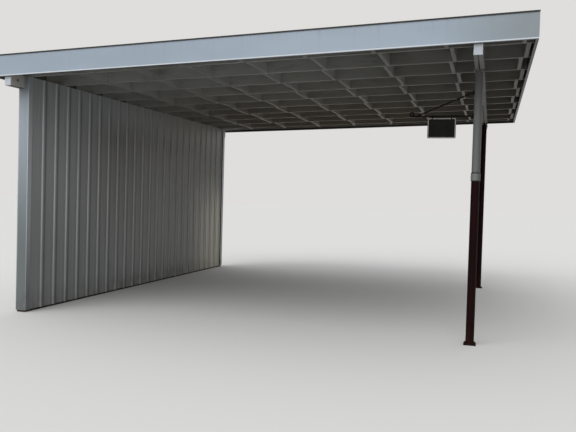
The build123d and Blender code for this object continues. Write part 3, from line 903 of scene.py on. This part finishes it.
def beam_bolts():
    """Bolts through the two plies of each beam: in a zigzag between the rafters in the right one,
    and at both ends of the left one.
    """
    from_end, swing = 0.13, 0.028
    ends = np.array([roof_low[1] + from_end, roof_high[1] - from_end])
    spread = np.concatenate([ends[:1], rafter_y[:-1] + RAFTER_PITCH / 2, ends[1:]])
    zigzag = swing * np.where(np.arange(len(spread)) % 2, 1.0, -1.0)
    shapes = []
    for beam, y, shift in (("right_beam", spread, zigzag), ("left_beam", ends, np.zeros(2))):
        z = corner(beam)[2] + HALF_BEAM + shift
        for high, outward in ((False, -1.0), (True, 1.0)):
            places = np.column_stack([np.full_like(y, corner(beam, high)[0]), y, z])
            shapes.append(turned_heads(places, (outward, 0, 0), BOLT_HEAD))
    place_piece("beam_bolts", *join(*shapes), zinc, slot="painted_timber")


def round_posts(half_x, half_y, z):
    """Four places about each post's axis, this far from it along X and Y."""
    places = rows(post_x + np.array([-half_x, half_x]), [front_post_y, rear_post_y], [z])
    return np.concatenate([places + [0, -half_y, 0], places + [0, half_y, 0]])


def tube_weld(y, z, size):
    """Weld bead round the tube of the post at y."""
    return bead((post_x, y, z), (0, 0, 1), TUBE_RADIUS + 0.0012, size, ripples=44, around=132)


def post_hardware():
    """Anchor nuts, lag heads under the cap plates, weld beads and the collar's set screws."""
    foot_weld, head_weld = 0.0042, 0.0038
    tube_top = corner("rear_post", True)[2] - PLATE
    nuts = turned_heads(round_posts(half_x=0.045, half_y=0.045, z=PLATE), (0, 0, 1), ANCHOR_NUT)
    place_piece("anchor_nuts", *nuts, maroon, slot="maroon_paint")
    lags = turned_heads(round_posts(half_x=0.025, half_y=0.060, z=tube_top), (0, 0, -1), BOLT_HEAD)
    place_piece("cap_lags", *lags, zinc, slot="maroon_paint")
    welds = join(tube_weld(front_post_y, PLATE, foot_weld),
                 tube_weld(rear_post_y, PLATE, foot_weld),
                 tube_weld(rear_post_y, tube_top, head_weld))
    place_piece("maroon_welds", *welds, maroon, slot="maroon_paint", smooth=True)
    weld = tube_weld(front_post_y, tube_top, head_weld)
    place_piece("grey_weld", *weld, grey_post, slot="grey_paint", smooth=True)
    turn = np.radians([205.0, 325.0, 85.0])
    outward = np.column_stack([np.cos(turn), np.sin(turn), np.zeros(3)])
    reach = corner("front_post_collar", True)[0] - post_x
    screws = turned_heads([post_x, front_post_y, collar_z] + reach * outward, outward, SET_SCREW)
    place_piece("collar_screws", *screws, grey_collar, slot="grey_paint")


def bracket_details():
    """Screws above and below the bar and strut on their pads, the beads that weld the pads on, and
    the rivets that hold the sign to its hangers.
    """
    from_bar, along_strut = 0.0155, 0.016
    half_spacing, tongue, below_top = 0.095, 0.003, 0.011
    pad_face = post_x - TUBE_RADIUS - PAD
    joint = next(joint for joint in frame["joints"] if joint["name"] == "sign_swing")
    bar_z = joint["pos_m"][2]
    strut_z = bar_z + STRUT_RISE
    lifts = [bar_z - from_bar, bar_z + from_bar, strut_z - from_bar, strut_z + from_bar]
    screws = turned_heads(rows([pad_face], [front_post_y], lifts), (-1, 0, 0), PAD_SCREW)
    lean = np.array([STRUT_FOOT + pad_face - post_x, 0.0, STRUT_RISE])
    foot = np.array([post_x - STRUT_FOOT, front_post_y, bar_z])
    ends = (((pad_face, front_post_y, bar_z), (1, 0, 0), 0.0082, 0.0024, 12),
            ((pad_face, front_post_y, strut_z), lean, 0.0072, 0.0026, 10),
            (foot + along_strut * lean / np.linalg.norm(lean), lean, 0.0048, 0.0036, 8))
    beads = [bead(centre, axis, radius, size, ripples, around=48, section=8)
             for centre, axis, radius, size, ripples in ends]
    place_piece("bracket_fixings", *join(screws, *beads), iron, slot="black_iron", smooth=True)
    hangers_x = middle("sign_plate")[0] + np.array([-half_spacing, half_spacing])
    heads = []
    for high, outward in ((False, -1), (True, 1)):
        face = corner("sign_plate", high)[1] + outward * tongue
        places = rows(hangers_x, [face], [corner("sign_plate", True)[2] - below_top])
        heads.append(turned_heads(places, (0, outward, 0), DOME))
    place_piece("hanger_rivets", *join(*heads), iron, body="sign", slot="black_iron", smooth=True)


# Studio


def plain_floor():
    """Large floor, pale to the camera and in reflections, and dull to the light it throws back."""
    size = 80.0
    dull, pale = (0.205, 0.2, 0.19, 1.0), (0.785, 0.775, 0.757, 1.0)
    mesh = bpy.data.meshes.new("floor")
    corners = [(-size, -size, 0.0), (size, -size, 0.0), (size, size, 0.0), (-size, size, 0.0)]
    mesh.from_pydata(corners, [], [(0, 1, 2, 3)])
    floor = bpy.data.objects.new("floor", mesh)
    bpy.context.scene.collection.objects.link(floor)
    f = Finish("floor")
    mesh.materials.append(f.surface(f.mix(f.seen(), dull, pale), 0.95, specular=0.0))


def studio_light():
    """Even light all round, brighter overhead and dimmer from the posts' side, and one broad soft
    lamp from high at the front left. The camera sees a plain pale backdrop instead.
    """
    backdrop, warm, cool = 0.74, (1.0, 0.985, 0.965, 1.0), (0.965, 0.985, 1.0, 1.0)
    world = bpy.data.worlds.new("studio")
    bpy.context.scene.world = world
    world.use_nodes = True
    w = Wiring(world.node_tree)
    direction = w.node("ShaderNodeTexCoord", output="Generated")
    up = w.part(direction, "Z").clamp()
    seen = w.seen()
    sky = (0.42 + 0.62 * up) * (1.0 - 0.45 * w.part(direction, "X").step(-0.2, 0.9))
    level = sky * (1 - seen) + backdrop * seen
    values = {"Color": w.mix(seen, cool, warm), "Strength": level}
    background = w.node("ShaderNodeBackground", {}, values)
    w.node("ShaderNodeOutputWorld", {}, {"Surface": background})
    lamp = bpy.data.lights.new("sky_lamp", "SUN")
    lamp.energy = 1.1
    lamp.angle = math.radians(60)
    sky_lamp = bpy.data.objects.new("sky_lamp", lamp)
    sky_lamp.rotation_euler = Vector((0.22, 0.72, -0.66)).to_track_quat("-Z", "Y").to_euler()
    bpy.context.scene.collection.objects.link(sky_lamp)


make_camera()
plain_floor()
studio_light()
bpy.context.scene.view_settings.view_transform = "Standard"

fascia_white = fascia_finish()
inner_sheet = sheet_finish("white_steel_inner", 0.0, 1.0)
outer_sheet = sheet_finish("white_steel_outer", 4.0, 0.0)
rafter_paint = timber_finish("painted_rafters", "x")
board_paint = timber_finish("painted_boards", "y")
deck_paint = deck_finish()
raw_boards = raw_timber_finish("raw_boards", "y")
raw_studs = raw_timber_finish("raw_studs", "z")
roofing = roofing_finish()
dark_metal = drip_finish()
# The third tone is painted shade for the grey posts' side away from the wall.
maroon_dark, old_coat, side_shade = tone(26, 11, 11), tone(70, 44, 40), tone(58, 58, 57)
maroon = post_finish("maroon_paint", maroon_dark, tone(40, 17, 17), tone(84, 54, 38), maroon_dark,
                     chips_from=0.7, foot_rust=0.2, gloss=0.06)
grey_post = post_finish("grey_paint", tone(122, 124, 124), tone(136, 138, 137), old_coat, side_shade,
                        chips_from=0.72, foot_rust=0.0, gloss=0.3)
grey_collar = post_finish("grey_collar", tone(132, 136, 133), tone(146, 149, 146), old_coat, side_shade,
                          chips_from=0.7, foot_rust=0.0, gloss=0.3)
# The front trim's tones are painted light at the top and painted shade at the foot; the rear trim
# is a brighter copy of the same white, painted light.
shaded_front_trim = trim_finish("white_trim_front", tone(186, 199, 208), tone(124, 131, 132))
lit_rear_trim = trim_finish("white_trim_rear", tone(232, 233, 229), tone(226, 226, 220))
iron = iron_finish()
sign_black = sign_finish()
zinc = zinc_finish()

# Each node takes the finish of the first of these that its name starts with
finishes = {
    "rafter_": rafter_paint, "front_rim": rafter_paint, "rear_rim": rafter_paint,
    "blocking_row_": board_paint, "left_beam": board_paint, "right_beam": board_paint,
    "roof_deck": deck_paint, "roofing": roofing, "drip_edge": dark_metal,
    "front_fascia": fascia_white, "rear_fascia": fascia_white, "left_fascia": fascia_white,
    "right_fascia": fascia_white, "sill_plate": raw_boards, "top_plate": raw_boards,
    "wall_girts": raw_boards, "wall_studs": raw_studs, "inner_cladding": inner_sheet,
    "outer_cladding": outer_sheet, "front_end_cap": shaded_front_trim, "rear_end_cap": lit_rear_trim,
    "front_post_lower": maroon, "rear_post": maroon, "front_post_upper": grey_post,
    "front_post_collar": grey_collar, "sign_bracket": iron, "sign_hangers": iron,
    "sign_plate": sign_black,
}
for name, node in nodes.items():
    finish = next(made for start, made in finishes.items() if name.startswith(start))
    for place in node.material_slots:
        place.material = finish

sheet_screws()
sheet_laps()
end_cap_rivets()
fascia_trim()
roofing_courses()
blocking_nails()
beam_bolts()
post_hardware()
bracket_details()
